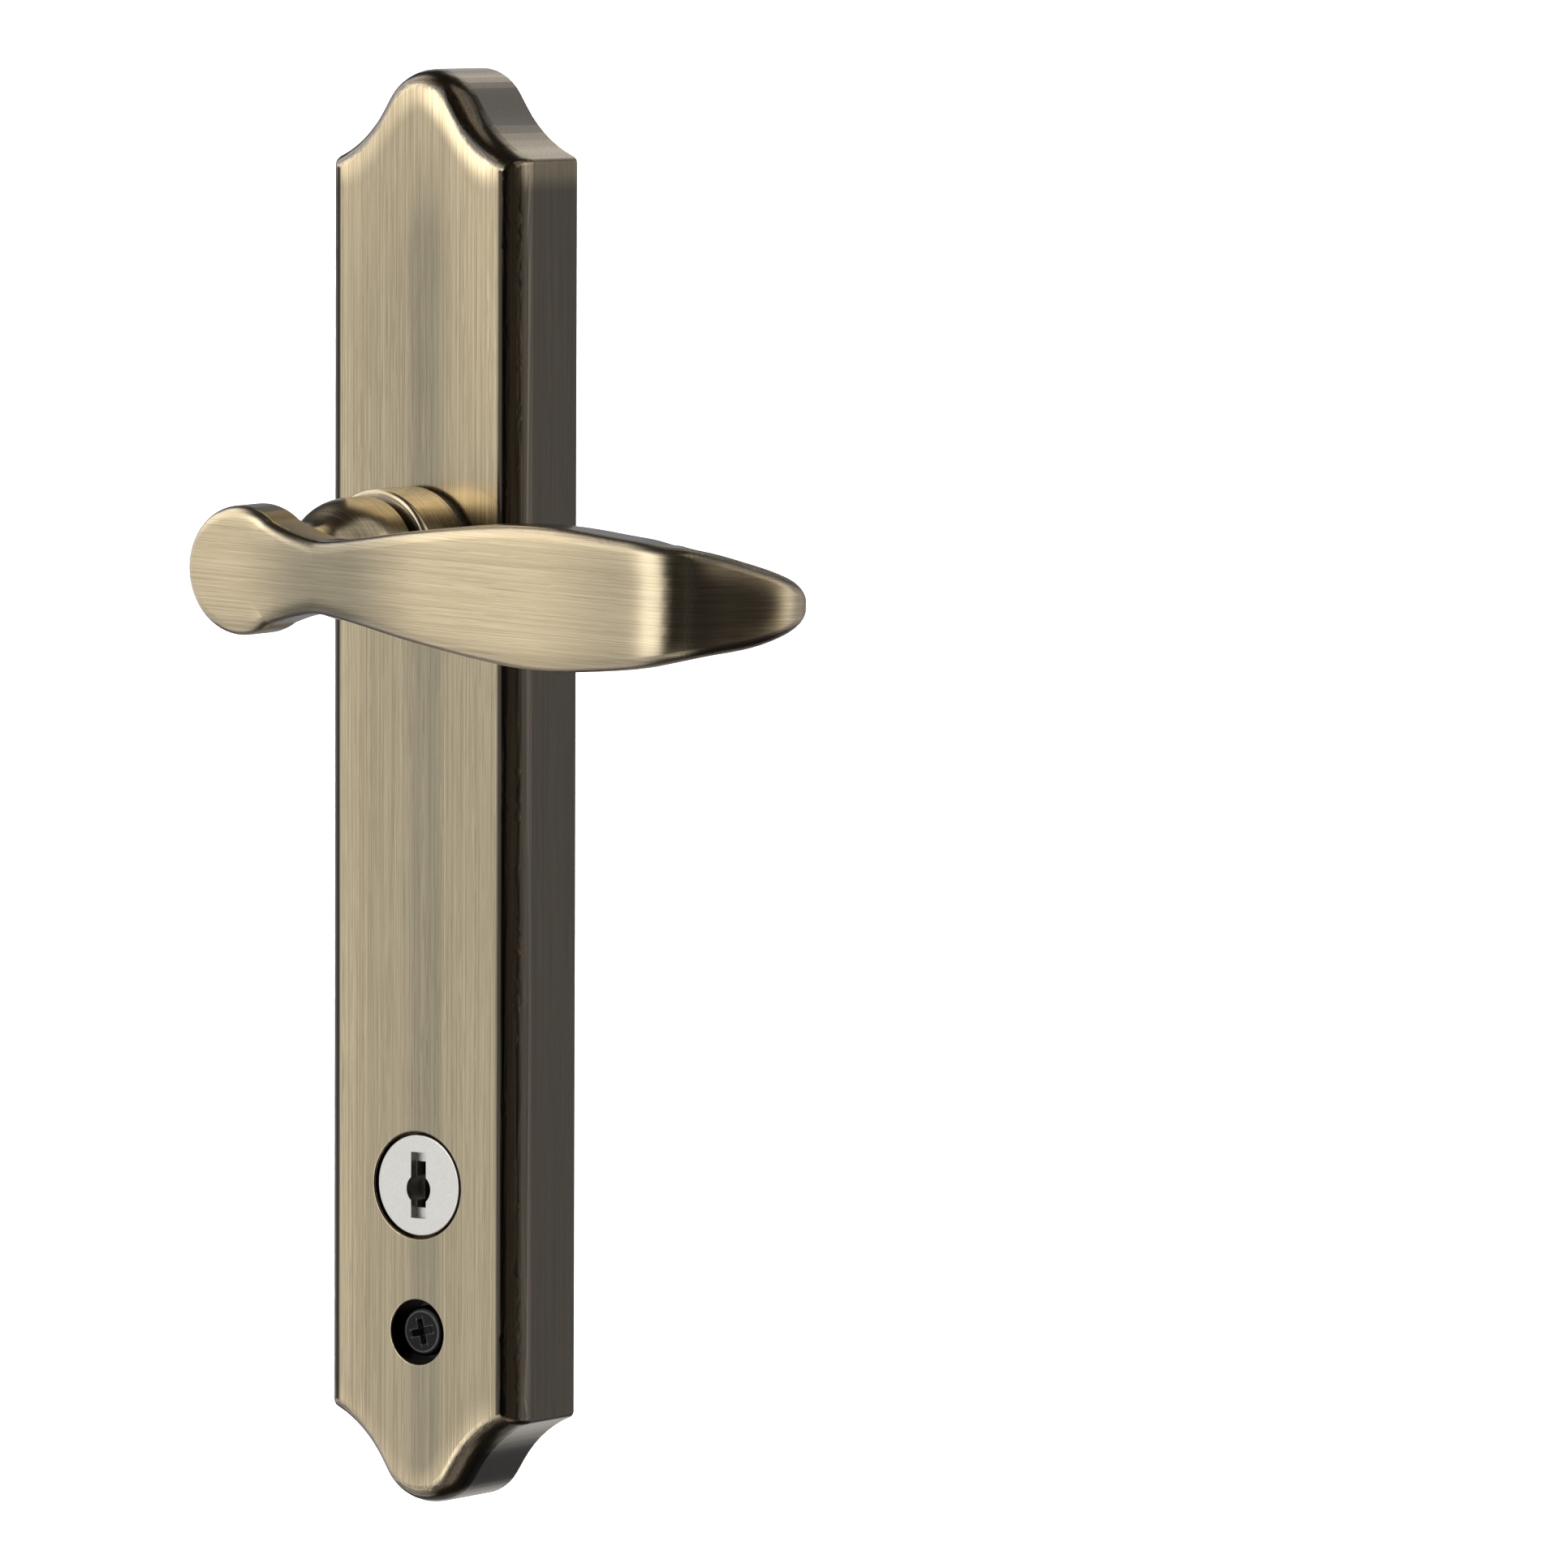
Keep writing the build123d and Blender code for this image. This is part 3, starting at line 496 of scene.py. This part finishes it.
def springSteel():
    look = springSet
    metal = Finish("oiledSpringSteel")
    x, y, z = metal.place()
    drawn = metal.noise(x * 0.8, y * 6.0, z * 0.8, 3.0, 0.6)
    cloud = metal.noise(x * 0.3, y * 0.3, z * 0.3, 3.0)
    tone = metal.mix(metal.step(cloud, 0.4, 0.65), look["colour"], look["blue"])
    tone = metal.mix(metal.step(drawn, 0.62, 0.75) * 0.4, tone, look["rust"])
    return metal.done(Base_Color=tone, Metallic=1.0, Roughness=look["rough"] + (drawn - 0.5) * 0.3,
                      Coat_Weight=0.4, Coat_Roughness=0.1, Normal=metal.bump(drawn, look["depth"]))


bareBrassSet = {"light": (0.80, 0.62, 0.29), "dull": (0.58, 0.43, 0.2), "rough": 0.3, "depth": 0.000012}


def bareBrass():
    look = bareBrassSet
    metal = Finish("bareBrass")
    x, y, z = metal.place()
    zc = z - cylinderAxis["z"]
    radius = (x * x + zc * zc) ** 0.5
    rings = metal.noise(radius * 5.0, y * 5.0, 0.0, 2.0, 0.6)
    cloud = metal.noise(x * 0.3, y * 0.3, z * 0.3, 4.0, 0.6)
    tone = metal.mix(metal.step(cloud, 0.36, 0.62), look["dull"], look["light"])
    tone = metal.mix(metal.step(rings, 0.32, 0.5, 0.35, 0.0), tone, (0.36, 0.25, 0.11))
    front = metal.step(y, -11.0, -9.5, 0.96, 0.0)          # painted shade on the shell's front end
    tone = metal.mix(front, tone, (0.02, 0.017, 0.013))
    return metal.done(Base_Color=tone, Metallic=1.0, Roughness=look["rough"] + (cloud - 0.5) * 0.35,
                      Normal=metal.bump(rings, look["depth"]))


nickelSet = {"light": (0.68, 0.67, 0.63), "dull": (0.58, 0.57, 0.535), "deep": (0.16, 0.15, 0.14),
             "rough": 0.36, "depth": 0.00001}


def satinNickel():
    look = nickelSet
    metal = Finish("satinNickel")
    x, y, z = metal.place()
    zc = z - cylinderAxis["z"]
    radius = (x * x + zc * zc) ** 0.5
    rings = metal.noise(radius * 7.0, y * 2.0, 0.0, 2.0, 0.6)
    blast = metal.noise(x * 9.0, y * 9.0, z * 9.0, 3.0, 0.6)
    tone = metal.mix(metal.step(blast, 0.35, 0.65), look["dull"], look["light"])
    tone = metal.mix(metal.step(rings, 0.35, 0.5, 0.25, 0.0), tone, look["dull"])
    # painted shade deep in the keyway
    deep = metal.step(y, cylinderAxis["faceY"] + 1.3, cylinderAxis["faceY"] + 3.6)
    deep = deep * metal.step(radius, 4.4, 5.4, 1.0, 0.0)
    tone = metal.mix(deep * 0.9, tone, look["deep"])
    return metal.done(Base_Color=tone, Metallic=1.0, Roughness=look["rough"] + (blast - 0.5) * 0.2,
                      Normal=metal.bump(rings + blast * 0.6, look["depth"]))


screwSet = {"colour": (0.012, 0.011, 0.012), "worn": (0.22, 0.215, 0.215), "rough": 0.34, "depth": 0.000012}


def blackSteel():
    look = screwSet
    metal = Finish("blackSteel")
    x, y, z = metal.place()
    zc = z - screwAxis["z"]
    turn = math.radians(screwAxis["turn"])
    u = x * math.cos(turn) + zc * math.sin(turn)
    v = zc * math.cos(turn) - x * math.sin(turn)
    radius = (x * x + zc * zc) ** 0.5
    fine = metal.noise(x * 7.0, y * 7.0, z * 7.0, 3.0, 0.6)
    rim = metal.hump(radius, screwAxis["headR"] - 0.75, 0.04, 0.16)
    slotEdge = metal.hump(abs(u).below(abs(v)), 0.575, 0.03, 0.1)
    slotEdge = slotEdge * metal.step(radius, 2.2, 2.5, 1.0, 0.0)
    worn = rim.above(slotEdge) * metal.step(fine, 0.3, 0.6) * 0.4
    tone = metal.mix(worn, look["colour"], look["worn"])
    return metal.done(Base_Color=tone, Metallic=0.85, Roughness=look["rough"] + (fine - 0.5) * 0.2,
                      Normal=metal.bump(fine, look["depth"]))


finishes = {
    "escutcheon": plateBrass(), "lever": leverBrass(), "hub_bushing": blackNylon(),
    "face_screw": blackSteel(), "cylinder_plug": satinNickel(),
}
zinc, spring, bare = zincSteel(), springSteel(), bareBrass()
for name in ("stop_plate", "hub_washer", "cylinder_screw_top", "cylinder_screw_bottom"):
    finishes[name] = zinc
for name in ("return_spring", "retaining_ring", "plug_clip"):
    finishes[name] = spring
for name in ("cylinder_shell", "wafer_1", "wafer_2", "wafer_3", "wafer_4"):
    finishes[name] = bare
for name, material in finishes.items():
    slots = parts[name].data.materials
    slots.clear()
    slots.append(material)
print("finishes laid on", len(finishes), "parts")
